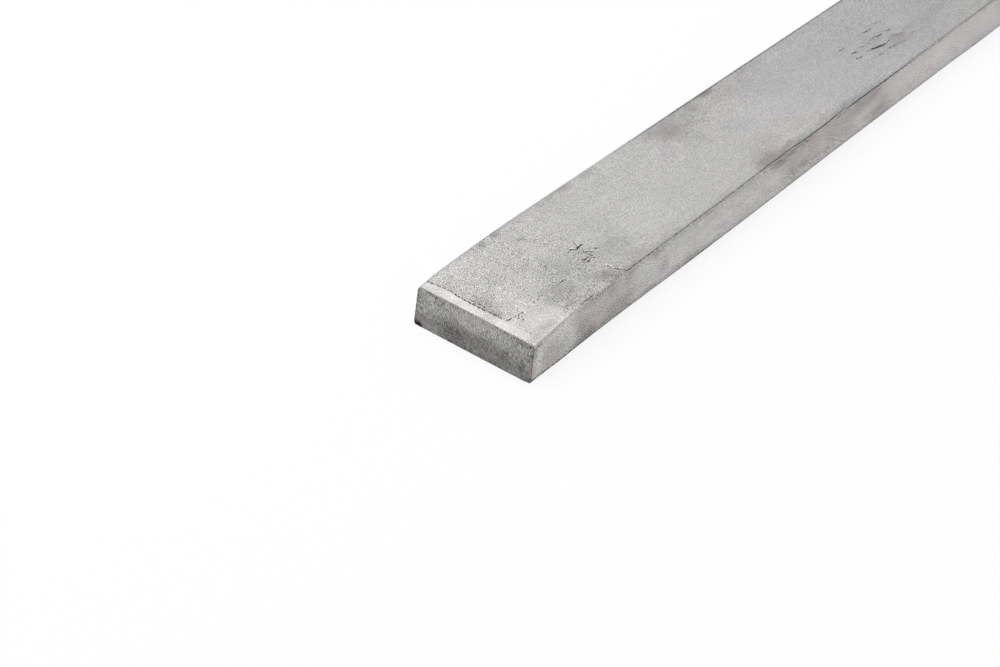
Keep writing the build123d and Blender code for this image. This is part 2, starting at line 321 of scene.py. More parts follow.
# The same on the break, where the first number is across and the second is the height
BREAK_PATCHES = {
    "shade": (
        (4.7, 2.1, 3.6, 2, 34), (0, 8.5, 22, 1, 30), (-7.5, 8.3, 3.6, 1.5, 22), (5, 8.4, 3, 1.2, 15),
        (-10.5, 4.8, 3.2, 2.2, 16), (-13.8, 1.4, 2, 1.4, -16), (3, 0, 12, 0.9, 24), (-7, 0, 3, 0.9, 22),
        (14.6, 0.35, 2.2, 1.4, 66), (6.2, 8.3, 2.6, 1.2, 12), (4.8, 5.2, 1.6, 1.4, 12),
        (1, 0.1, 2.4, 1, 12), (-9.6, 6.5, 1.8, 1.6, 8), (-11.6, 5.2, 1.4, 1.2, 10),
        (-4.6, 4.3, 1.8, 1.2, 8), (-10.4, 2.8, 1.6, 1.4, -12), (-1.6, 5.8, 2.4, 1.2, -6),
        (12, 6.4, 2.4, 2, -6), (5, 5, 2, 2, 8), (11.2, 6.2, 3, 1.6, -12), (6.2, 6, 2.4, 1.4, -8),
        (2, 3.8, 2.2, 1.6, 10), (-4.6, 4.4, 2.6, 1.6, 7), (-14.6, 4.6, 1.8, 2, 20),
        (-14.6, 0.3, 1.4, 1.2, 42), (-12.7, 7, 2.2, 1.6, -20), (15, 7, 1.8, 1.6, -20),
        (-14.6, 8.4, 2.2, 1.2, 24), (-3.6, 1.4, 3, 1.4, -14), (-7.4, 3, 1.8, 1.6, -8),
        (-3.8, 7.2, 2.4, 1.3, -13), (1, 1.6, 2, 1.2, -10), (-11.6, 8.2, 2, 1, 15), (5, 0.7, 1.8, 1.3, 36),
        (0.5, 2.2, 3, 2, 14), (-5.6, 3, 5, 2, 10), (-14, 5.5, 4.6, 6, 30), (-14.8, 7.4, 1.6, 3.2, 30),
        (-9.4, 3.6, 2.8, 2.4, 28), (-12.5, 2.6, 1.6, 1.6, 30), (14, 6, 3.5, 4, 20),
        (8.4, 3.6, 2.2, 1.8, 13), (8.5, 7.4, 3, 1.6, 12), (3.6, 6.4, 3, 1.6, -14), (0.5, 6.2, 5, 2.2, -16),
        (11.4, 7.2, 3, 1.4, -12), (10, 0.9, 3.4, 1.4, -26), (-10.4, 0.6, 3, 1.2, -14),
    ),
    "oxide": ((4.4, 2.6, 3, 2, 8), (-14.7, 2.6, 1.2, 2.6, 12)),
    "blush": (
        (12.4, 1, 2.6, 1.6, 26, 30), (5, 0.9, 2.4, 1.3, 20, 30), (2.2, 2.4, 1.2, 1.2, 20),
        (-3.6, 1.2, 1.8, 1.2, 20), (-5.8, 2.4, 1.4, 1.4, 16), (-14.6, 2, 1.2, 2, 30),
    ),
    "haze": ((12, 0.8, 2.4, 1.4, 14), (4.4, 1.4, 2.6, 1.6, 20), (0, 7, 9, 2.4, 4)),
    "dirt": (
        (12.5, 8.25, 3.6, 0.3, 60), (14.6, 6.6, 0.7, 2.6, 50), (10.2, 7.8, 0.55, 0.5, 75),
        (10.2, 6.9, 0.5, 0.5, 70), (9.4, 6.4, 0.5, 0.45, 70), (8.7, 6.6, 0.5, 0.45, 75),
        (8.2, 7.4, 0.5, 0.5, 70), (14.2, -0.2, 3.2, 1.2, 110), (4.5, 2.2, 5, 1.8, 20),
        (-8.4, 2.6, 2.2, 1.2, 20), (-12, 7.5, 3.2, 1, 38),
    ),
}

# Crease between the sag and the rolled-over band, as (across, along)
CREASE = ((-5.4, 3.9), (-2, 3.7), (0.5, 3.6), (4.4, 3.6), (6.5, 3.8), (8.8, 4), (11.5, 3.9), (14.4, 3.4))
# How far the blade rubbed the face, as (across, along), and how softly that ends
RUBBED_REACH = ((-15, 9), (-9, 9.5), (-6.5, 6), *CREASE)
RUBBED_FADE = ((-8, 3.5), (-5, 0.4))
# Top of the torn part of the break, as (across, height)
TEAR_LINE = (
    (-15, 1.8), (-12.5, 3), (-10, 2.6), (-8, 4.2), (-3, 4.6), (2, 4.5), (7, 4.3), (10, 3.3), (15, 3),
)

# Dark lines on the upper face with no depth of their own: dirt in the crease, and faint drag marks.
# A trail has a half width, a strength in percent, and the places, (along, across), that it links
STAINS = (
    (0.23, 99, (3.5, 14.2), (3.9, 11.5), (4.1, 8.8)),
    (0.24, 122, (4.1, 8.8), (3.8, 6.5), (3.6, 4.4), (3.6, 2)),
    (0.24, 133, (3.6, 2), (3.6, -0.7), (3.8, -2.2), (3.8, -4.6)),
    (0.2, 99, (4.4, 4.8), (4.4, 3), (4.4, 0.5), (4.2, -1.2)), (0.2, 140, (3.8, -6), (7.6, -7)),
    (0.2, 60, (4.2, -6.8), (7.6, -7.8)), (0.22, 145, (10.9, -6.9), (12.3, -6.8)),
    (0.24, 95, (16.5, -7), (20.4, -7.05)), (0.4, 50, (14.3, -10.8), (16.4, -11.2)),
)
# Single dark dots on the upper face, as (along, across)
SPECKS = (
    (6.2, -6.9), (6, -7.5), (6.5, -7.6), (5.3, -8.4), (6.2, -8.2), (3.9, -10.8), (3.9, -11.8), (11, -6.9),
    (12.2, -6.8), (13.2, -6.4), (13.7, -6.7), (28, -3.3), (28.7, -3.5), (29.2, -3.6), (29.3, -4.3),
    (29.8, -4.4), (27.4, -6.3), (27.9, -6.9), (29.2, -5.9), (29.2, -6.4), (29.5, -6.7),
)
SPECK_RADIUS = 0.28
SPECK_STRENGTH = 1.15
# Scratches and larger pits, which are hollows with dirt in them
SCRATCHES = (
    (0.19, 79, (31.9, 0.1), (31.4, -0.8), (30.9, -1.8)), (0.25, 145, (28.9, -1.3), (30, -2.4)),
    (0.24, 151, (30.2, -2.3), (30.7, -2.2), (31.4, -2.1), (32.1, -2.2)),
    (0.34, 169, (30.6, -2.2), (30.8, -2.2)), (0.22, 139, (30.3, -4), (30.4, -4.4), (30.9, -4.6)),
    (0.23, 145, (31.1, -4.9), (31.5, -5.2)), (0.26, 151, (32.6, -5.1), (33.1, -5.3)),
    (0.21, 121, (30.3, -5.5), (30.4, -6)), (0.28, 139, (28, -5.7), (28.7, -5.8)),
    (0.22, 126, (28.4, -6.5), (28.4, -7)), (0.22, 126, (30, -6.8), (30.3, -7)),
    (0.19, 96, (28.6, -10), (29.4, -10.6), (29.8, -12.4), (30.9, -14.5)),
    (0.32, 85, (134.4, 0.8), (136.8, 0.75)), (0.44, 95, (135.5, -2.2), (136.9, -2.5)),
    (0.34, 95, (133.9, -4.3), (135.7, -4.75)), (0.34, 50, (139.4, -2.2), (141, -2.3)),
    (0.28, 60, (138.6, -4.4), (140.4, -4.5)), (0.56, 120, (140.6, -4.6), (141.8, -5), (143.2, -5.3)),
    (0.42, 95, (142.8, -5.3), (144.6, -5.65)), (0.24, 50, (144.6, -5.65), (147, -5.5)),
    (0.2, 35, (136, -7), (147, -7.9)), (0.36, 75, (139, -7.3), (140.5, -7.7)),
    (0.4, 80, (143.6, -7.3), (145.8, -7.9)), (0.36, 60, (147, -7.85), (149.4, -8.4)),
    (0.4, 95, (146.1, 1.25), (147.8, 1)), (0.34, 80, (148.2, 0.95), (149.3, 1.1)),
    (0.36, 50, (151.8, 1.7), (154.4, 1.3)), (0.36, 60, (144.6, -1.9), (146, -1.9)),
    (0.48, 95, (146.8, -2.2), (148.4, -2.5)), (0.36, 85, (150.8, -2.55), (151.9, -2.7)),
    (0.34, 65, (149.6, -4.9), (152.8, -6)), (0.36, 60, (145.2, 5.3), (147.2, 4.3)),
)
# Where small pits lie, and the spacing of their middles
PIT_FIELDS = ((28.4, -6.6, 3.4, 1.6, 45), (29.6, -4.4, 3.2, 2.4, 40), (143, -3.5, 9, 4, 35))
PIT_LENGTH = 0.75
PIT_WIDTH = 0.45
# The torn part of the break sets in so far above and below its line, and the sheared part above it
# has this share of its roughness
TEAR_SPREAD = (1.5, 1.3)
SHEARED_RELIEF = 0.15

# Strength of the grain on the upper face: all over it, what the acid bit deeper at the near end,
# what it bit deeper further on, and the share that the blade rubbed off
FACE_GRAIN = 0.6
NEAR_GRAIN = 0.4
NEAR_GRAIN_ENDS = (38, 22)
FAR_GRAIN = 0.25
FAR_GRAIN_STARTS = (60, 110)
RUBBED_GRAIN = 0.45
TORN_GRAIN = 0.42  # the same share on the torn part of the break
# Strength of the grain on the edge face, which the rolls left rougher, as (along, strength)
EDGE_GRAIN = ((12, 1.15), (20, 1.8), (30, 1.45), (45, 1.4), (75, 1.75), (95, 2.3), (125, 2.6), (145, 2.2))

# Painted shadow along the rounded foot of the edge face, which turns to the floor, as (along, strength), and
# its heights
FOOT_DIRT = ((2, 0.85), (70, 0.8), (110, 0.9), (150, 0.7))
FOOT_DIRT_HEIGHTS = (1.3, 0.6)
# Softer painted shade above it, near the floor, as (along, strength), and its heights
FOOT_SHADE = (
    (1, 0.05), (14, 0.2), (24, 0.4), (35, 0.43), (40, 0.34), (44, 0.1), (48, 0.12), (54, 0.22), (85, 0.2),
    (98, 0.35), (110, 0.5), (140, 0.5), (165, 0.2),
)
FOOT_SHADE_HEIGHTS = (2.4, 1)
# The foot of the edge face isn't quite straight: how far it is lifted, as (along, millimetres), how
# far it lies in for that, and the heights and places across over which that fades
FOOT_LIFT = (
    (0, 0.18), (5, 0.17), (11, 0), (21, 0.15), (31, 0.19), (41, 0.11), (51, 0), (73, 0), (84, 0.06),
    (96, 0.14), (108, 0.23), (134, 0.21), (161, 0.2), (176, 0),
)
FOOT_PULL_IN = 0.3
FOOT_LIFT_HEIGHTS = (2.5 * MM, 0.2 * MM)
FOOT_LIFT_WIDTHS = (-13.4 * MM, -14.4 * MM)

# Painted shade on the upper face along the edge of the cut, for the shadow of its burr, and darkening
# along its right and left edges, with the places over which it grows
CUT_RIM_SHADE = 0.9
CUT_RIM_REACH = (0.2, 0.08)
RIGHT_RIM_SHADE = 0.25
RIGHT_RIM_STARTS = (14, 20)
RIGHT_RIM_EDGE = (-13.6, -14.6)
LEFT_RIM_SHADE = 0.55
LEFT_RIM_STARTS = (64, 78)
LEFT_RIM_EDGE = (13.7, 14.3)
ARRIS_SHINE = 0.3  # painted highlight: how much lighter the rounded right edge itself is painted, where it reflects the dim dome
# Dark lines on the edges of the break, darker at their right end; along the edge of the cut they are painted
# shadow under the burr
BREAK_RIM_DIRT = 0.45
BREAK_CORNER_DIRT = 0.6

# Lap seam: its place across on the rounded edge, and its half width
SEAM_LINE = -14.58
SEAM_HALF_WIDTH = 0.13
# How far it strays inwards from that place, as (along, millimetres)
SEAM_STRAY = ((71, 0), (81, 0.16), (91, 0.22), (94.5, 0), (104, 0), (108, 0.15), (112.5, 0.34), (113.3, 0))
# Its strength, as (along, strength)
SEAM_STRENGTHS = (
    (15.8, 0), (16.6, 0.75), (19.6, 0.75), (20.6, 0), (30, 0), (31, 0.75), (62, 0.75), (70, 0.66),
    (88, 0.8), (98, 1.2), (107, 1.2), (109.5, 0.65), (112, 0.65), (115, 1.2), (132, 1.15), (142, 0.65),
    (158, 0.55),
)

# Seed of the noise vectors that the wander comes from, which otherwise differ from run to run
WANDER_SEED = 5
# How marks wander from their listed places, as the size of the wander and its reach in millimetres
SOFT_WANDER = (4.0, 1.3)
SCRATCH_WANDER = (0.7, 0.12)
STAIN_WANDER = (0.45, 0.2)
EDGE_WANDER = (3.0, 0.8)
BREAK_WANDER = (1.6, 0.5)
# Drifts of cloud and film, which the rolls drew out lengthwise
DRIFT_SIZE = 9 * MM
DRIFT_STRETCH = 2.5


def smooth_step(nothing, full, value):
    """0 at the first limit, 1 at the second, and an eased rise between them."""
    share = min(1.0, max(0.0, (value - nothing) / (full - nothing)))
    return share * share * (3 - 2 * share)


def eased_ramp(value, bend):
    """The value where it is over nothing, and nothing where it isn't, with a bend between them."""
    if abs(value) < bend:
        return (value + bend) ** 2 / (4 * bend)
    return max(0.0, value)


def between(places, value):
    """Value at a place on a line through a few (place, value) pairs, in rising order of place."""
    for (low, start), (high, stop) in zip(places, places[1:]):
        if value <= high:
            return start + (stop - start) * min(1.0, max(0.0, (value - low) / (high - low)))
    return places[-1][1]


def row_stations():
    """Distances along the bar at which the skin has a row of vertices."""
    stations = []
    reached = 0.0
    for reach, spacing in ROW_ZONES:
        steps = max(1, round((reach - reached) / spacing))
        stations += [(reached + (reach - reached) * n / steps) * MM for n in range(1, steps + 1)]
        reached = reach
    return stations[:-1]


def even_stations(low, high, spacing):
    """Evenly spaced values from low to high."""
    steps = round((high - low) / spacing)
    return [low + (high - low) * n / steps for n in range(steps + 1)]


def bend_rise(run, radius, slope):
    """Height gained along a bend that starts at a slope and flattens."""
    sine = max(0.0, math.sin(slope) - run / radius)
    return radius * (math.sqrt(1 - sine * sine) - math.cos(slope))


def rounding_depth(radius, distance):
    """How far a rounded edge lies inside a sharp one, at a distance from it."""
    short = max(0.0, radius - distance)
    return radius - math.sqrt(radius**2 - short**2)


# Places across the bar between which the facet takes over from the sag
FACET_WIDTHS = (-2 * MM, -11 * MM)
FACET_LEAST_RISE = 0.05 * MM
# The right half of the break is hollow above its foot and full at its top. Depths, the height of
# the hollow and its spread are in millimetres
UNEVEN_WIDTHS = (8 * MM, -13 * MM)
HOLLOW_DEPTH = 0.3
HOLLOW_HEIGHT = 1.4
HOLLOW_SPREAD = 1.1
FULL_DEPTH = 0.15
FULL_HEIGHTS = (3 * MM, 6 * MM)
SLANT_SHARE = 0.3  # share of the width over which the mesh behind the break follows its slant
PULL_LAST = 1.5  # pull runs after which the pulled-in corner's round touches nothing
# Power of the curve of the lower right edge: 2 is round, and what squeezing adds makes it squarer
ROUND_POWER = 2
SQUARE_POWER = 5


class ShearedEnd:
    """Form of one sheared end, worked out for the near end."""

    def __init__(self, shape):
        self.shape = shape
        self.band_run = shape.band_width * math.cos(shape.band_slope)
        self.crease_run = shape.crease_radius * (math.sin(shape.band_slope) - math.sin(shape.sag_slope))
        self.cut_height = THICKNESS - self.rise(LENGTH)
        self.setback = self.cut_height * math.tan(shape.break_lean)

    def rise(self, run):
        """Height of the pressed face above the edge of the cut, at a run behind that edge."""
        shape = self.shape
        band = min(run, self.band_run) * math.tan(shape.band_slope)
        run = max(0.0, run - self.band_run)
        crease = bend_rise(min(run, self.crease_run), shape.crease_radius, shape.band_slope)
        run = max(0.0, run - self.crease_run)
        return band + crease + bend_rise(run, shape.sag_radius, shape.sag_slope)

    def facet_rise(self, run):
        """The same where the face slopes straight down to the cut, beside the right edge."""
        shape = self.shape
        slope_run = eased_ramp(shape.facet_run - self.setback - run, shape.facet_bend)
        drop = slope_run * math.tan(shape.facet_slope)
        return max(FACET_LEAST_RISE, THICKNESS - self.cut_height - drop)

    def height(self, run, y):
        """Height of the pressed face above the opposite one."""
        facet = smooth_step(*FACET_WIDTHS, y)
        rise = (1 - facet) * self.rise(run) + facet * self.facet_rise(run)
        return self.cut_height + rise - rounding_depth(self.shape.cut_radius, run)

    def inset(self, y, height):
        """How far the break lies behind its lean at a place."""
        hollow = HOLLOW_DEPTH * math.exp(-(((height / MM - HOLLOW_HEIGHT) / HOLLOW_SPREAD) ** 2))
        uneven = hollow - FULL_DEPTH * smooth_step(*FULL_HEIGHTS, height)
        rounding = rounding_depth(self.shape.foot_radius, height)
        return smooth_step(*UNEVEN_WIDTHS, y) * uneven * MM + rounding

    def press(self, point):
        """Place of a point of the plain bar once the end is sheared."""
        along = point.x - bar_low.x
        share = (point.z - bar_low.z) / THICKNESS
        nearness = max(0.0, 1 - along / (SLANT_SHARE * WIDTH)) ** 2
        slide = self.setback * nearness
        run = max(0.0, along + slide - self.setback)
        height = share * self.height(run, point.y)
        ahead = share * slide + self.inset(point.y, height) * nearness
        pressed = Vector((point.x + ahead, point.y, bar_low.z + height))
        return self.lift_foot(self.square_up(self.pull_in(pressed)))

    def pull_in(self, point):
        """The point, moved in where it lies outside the pulled-in corner's round."""
        shape = self.shape
        fade = (point.x - bar_low.x) / shape.pull_run
        if fade > PULL_LAST:
            return point
        inset = shape.edge_radius + (shape.pull_radius - shape.edge_radius) * math.sqrt(0.5)
        faded_top = self.cut_height + self.rise(shape.pull_run - self.setback)
        centre_y = HALF_WIDTH - shape.pull_radius + fade * (shape.pull_radius - inset)
        start_z = self.cut_height - shape.pull_depth
        centre_z = start_z + fade * (faded_top - inset - start_z)
        out = Vector((0.0, point.y - centre_y, point.z - bar_low.z - centre_z))
        if out.y > 0 and out.z > 0 and out.length > shape.pull_radius:
            return point + out.normalized() * (shape.pull_radius - out.length)
        return point

    def square_up(self, point):
        """The point, moved out where the cut squeezed the lower right edge square."""
        shape = self.shape
        radius = shape.edge_radius
        sideways = (-point.y - HALF_WIDTH + radius) / radius
        down = (bar_low.z + radius - point.z) / radius
        if sideways <= 0 or down <= 0:
            return point
        power = ROUND_POWER + SQUARE_POWER * smooth_step(shape.bulge_run, 0.0, point.x - bar_low.x)
        reach = (sideways**power + down**power) ** (1 / power)
        grow = math.hypot(sideways, down) / reach - 1
        return point + Vector((0.0, -sideways, -down)) * grow * radius

    def lift_foot(self, point):
        """The point, moved up and in where the foot of the right edge face isn't straight."""
        share = smooth_step(*FOOT_LIFT_HEIGHTS, point.z - bar_low.z)
        share *= smooth_step(*FOOT_LIFT_WIDTHS, point.y)
        lift = share * between(FOOT_LIFT, (point.x - bar_low.x) / MM) * MM
        return point + Vector((0.0, FOOT_PULL_IN * lift, lift))


def turned_over(point):
    """The point's place after a half turn about the crosswise line through the bar's centre."""
    return Vector((2 * middle.x - point.x, point.y, 2 * middle.z - point.z))


CUT_TOLERANCE = 1e-7  # metres within which a cut joins a vertex that is there


def cut_across(skin, axis, place):
    """Cuts the skin's faces at a place on an axis: 0 for X, 1 for Y and 2 for Z."""
    normal = Vector((0, 0, 0))
    normal[axis] = 1
    everything = [*skin.verts, *skin.edges, *skin.faces]
    bmesh.ops.bisect_plane(
        skin, geom=everything, dist=CUT_TOLERANCE, plane_co=normal * place, plane_no=normal
    )


def round_long_edges(skin, radius, segments, with_seam):
    """Rounds the upper right long edge, which has the seam, or the other three."""
    edges = []
    for edge in skin.edges:
        start, stop = edge.verts[0].co, edge.verts[1].co
        at_seam = start.y < middle.y and start.z > middle.z
        if abs(start.x - stop.x) > LENGTH / 2 and at_seam == with_seam:
            edges.append(edge)
    bmesh.ops.bevel(
        skin,
        geom=edges,
        offset=radius,
        offset_type="OFFSET",
        segments=segments,
        profile=0.5,
        affect="EDGES",
        material=-1,
    )


def plain_block(shape):
    """The bar before it is sheared: a box with rounded long edges, cut into rows and columns."""
    skin = bmesh.new()
    bmesh.ops.create_cube(skin, size=1.0)
    bmesh.ops.scale(skin, vec=(LENGTH, WIDTH, THICKNESS), verts=skin.verts)
    bmesh.ops.translate(skin, vec=middle, verts=skin.verts)
    radius = shape.edge_radius
    round_long_edges(skin, radius, SEAM_CORNER_SEGMENTS, with_seam=True)
    round_long_edges(skin, radius, CORNER_SEGMENTS, with_seam=False)
    rows = [bar_low.x + station for station in row_stations()]
    columns = even_stations(radius - HALF_WIDTH, HALF_WIDTH - radius, COLUMN_SPACING)
    heights = even_stations(radius, THICKNESS - radius, COLUMN_SPACING)
    heights += [side for h in FOOT_STATIONS for side in (h * MM, THICKNESS - h * MM)]
    levels = [bar_low.z + height for height in heights]
    for axis, places in enumerate((rows, columns, levels)):
        for place in places:
            cut_across(skin, axis, place)
    return skin


def strayed(along, across, size, reach):
    """A place moved by up to a reach, differently from one patch of a size to the next."""
    stray = noise.noise_vector(Vector((along, across, 0.0)) / size) * reach
    return along + stray.x, across + stray.y


def in_patch(place, along, across, half_length, half_width, percent, turn=0):
    """Strength of a patch at a place, which fades to nothing at its rim."""
    turn = math.radians(turn)
    ahead, aside = place[0] - along, place[1] - across
    lengthwise = (ahead * math.cos(turn) + aside * math.sin(turn)) / half_length
    crosswise = (aside * math.cos(turn) - ahead * math.sin(turn)) / half_width
    return percent / 100 * smooth_step(1.0, 0.25, math.hypot(lengthwise, crosswise))


def in_patches(place, patches):
    """Sum of the patches' strengths at a place."""
    return sum(in_patch(place, *patch) for patch in patches)


def patch_marks(place, layers):
    """Strength of each layer of patches at a place."""
    return {name: in_patches(place, patches) for name, patches in layers.items()}


def distance_to_run(place, start, stop):
    """Distance of a place from the straight run between two others."""
    run = stop - start
    share = min(1.0, max(0.0, (place - start).dot(run) / max(run.length_squared, 1e-9)))
    return (place - start - run * share).length


def on_trails(place, trails):
    """Strength of the strongest trail at a place. It fades to nothing at a trail's sides."""
    place = Vector(place)
    strengths = []
    for half_width, percent, *stops in trails:
        runs = zip(map(Vector, stops), map(Vector, stops[1:]))
        nearest = min(distance_to_run(place, start, stop) for start, stop in runs)
        strengths.append(percent / 100 * smooth_step(half_width, 0.0, nearest))
    return max(strengths)


def varied(along, size, row, reach):
    """A number that varies about nothing along the bar. Each row of the noise is its own run."""
    return reach * noise.noise(Vector((along / size, row, 0.0)))


def pitted(along, across):
    """1 in the middle of a pit and 0 between the pits, which lie lengthwise."""
    distances, places = noise.voronoi(Vector((along / PIT_LENGTH, across / PIT_WIDTH, 0.0)))
    # each pit has its own size, from a number that goes with its place
    size = 0.2 + 0.35 * abs(noise.cell(places[0] * 7.3))
    return smooth_step(size, 0.4 * size, distances[0])


def seam_marks(along, across):
    """The lap seam, which a fold in the rolling left along the right edge."""
    strength = between(SEAM_STRENGTHS, along)
    strength *= 0.85 + varied(along, size=1.7, row=3, reach=0.4)
    strength *= 1.0 + varied(along, size=0.8, row=7, reach=0.6)
    line = SEAM_LINE + between(SEAM_STRAY, along) + varied(along, size=4.0, row=1, reach=0.09)
    line += varied(along, size=1.2, row=9, reach=0.07)
    groove = smooth_step(SEAM_HALF_WIDTH, 0.3 * SEAM_HALF_WIDTH, abs(across - line))
    groove *= max(0.0, strength)
    return {"dirt": groove, "seam": min(1.0, groove)}


def upper_marks(along, across):
    """Marks of the upper face."""
    soft = strayed(along, across, *SOFT_WANDER)
    marks = patch_marks(soft, UPPER_PATCHES)
    scratch = on_trails(strayed(along, across, *SCRATCH_WANDER), SCRATCHES)
    pits = in_patches(soft, PIT_FIELDS)
    if pits > 0:
        scratch = max(scratch, min(1.0, pits) * pitted(along, across))
    # Stains break up into dots of 0.3 mm
    broken = 0.85 + 1.4 * noise.noise(Vector((along, across, 0.0)) / 0.32)
    stain = on_trails(strayed(along, across, *STAIN_WANDER), STAINS) * broken
    nearest = min(math.hypot(along - speck[0], across - speck[1]) for speck in SPECKS)
    stain = max(stain, SPECK_STRENGTH * smooth_step(SPECK_RADIUS, 0.0, nearest))
    fade = between(RUBBED_FADE, across)
    reach = between(RUBBED_REACH, across)
    right_rim = smooth_step(*RIGHT_RIM_STARTS, along) * smooth_step(*RIGHT_RIM_EDGE, across)
    left_rim = smooth_step(*LEFT_RIM_STARTS, along) * smooth_step(*LEFT_RIM_EDGE, across)
    marks["shade"] += RIGHT_RIM_SHADE * right_rim + LEFT_RIM_SHADE * left_rim
    marks["rubbed"] = smooth_step(reach + fade, reach - fade, along)
    marks["scratch"] = scratch
    marks["dirt"] = max(marks["dirt"] + scratch, stain)
    return marks


def edge_marks(along, height):
    """Marks of the right edge face."""
    marks = patch_marks(strayed(along, height, *EDGE_WANDER), EDGE_PATCHES)
    # Painted shade near the floor
    marks["shade"] += between(FOOT_SHADE, along) * smooth_step(*FOOT_SHADE_HEIGHTS, height)
    return marks


def foot_marks(along, height):
    """Painted shadow on the rounded foot of the edge face, where it turns down to the floor."""
    broken = 0.85 + varied(along, size=0.9, row=5, reach=0.4)
    return {"dirt": between(FOOT_DIRT, along) * broken * smooth_step(*FOOT_DIRT_HEIGHTS, height)}


def break_marks(across, height):
    """Marks of the break, whose lower part tore off."""
    soft = strayed(across, height, *BREAK_WANDER)
    marks = patch_marks(soft, BREAK_PATCHES)
    tear = between(TEAR_LINE, across)
    marks["torn"] = smooth_step(tear + TEAR_SPREAD[0], tear - TEAR_SPREAD[1], soft[1])
    marks["grain"] = 1 - TORN_GRAIN * marks["torn"]
    rough = noise.fractal(Vector((across, height, 0.0)) / 1.3, 0.9, 2.0, 3)
    marks["relief"] = (0.5 + 0.5 * rough) * (SHEARED_RELIEF + (1 - SHEARED_RELIEF) * marks["torn"])
    return marks


def on_arris(normal):
    """Share of a vertex on the rounded upper right edge, from where its normal points."""
    between_faces = smooth_step(0.1, 0.45, normal.z) * smooth_step(0.98, 0.85, normal.z)
    return between_faces * smooth_step(0.05, 0.4, -normal.y)


def plain_marks(place):
    """Marks of the faces and stretches where none are listed: clouds and films in drifts."""
    drift = Vector((place.x / DRIFT_STRETCH, place.y, place.z)) / DRIFT_SIZE
    film = noise.noise(drift + Vector((31.0, 0.0, 0.0)))
    return {
        "shade": 0.2 * noise.noise(drift),
        "oxide": 0.4 * max(0.0, film - 0.1),
        "blush": 0.45 * max(0.0, -film - 0.15),
        "haze": 0.1,
        "dirt": 0.15 * max(0.0, noise.noise(drift + Vector((0.0, 17.0, 0.0)))),
    }


LAYERS = ("shade", "oxide", "blush", "haze", "dirt", "grain", "rubbed", "torn")
BREAK_MATERIAL = 1  # index of the break's material on the skin
FACING = (0.5, 0.95)  # part of a normal over which a vertex comes to belong to a face
WAVE_SIZES = (45, 14, 6)  # millimetres along the axes


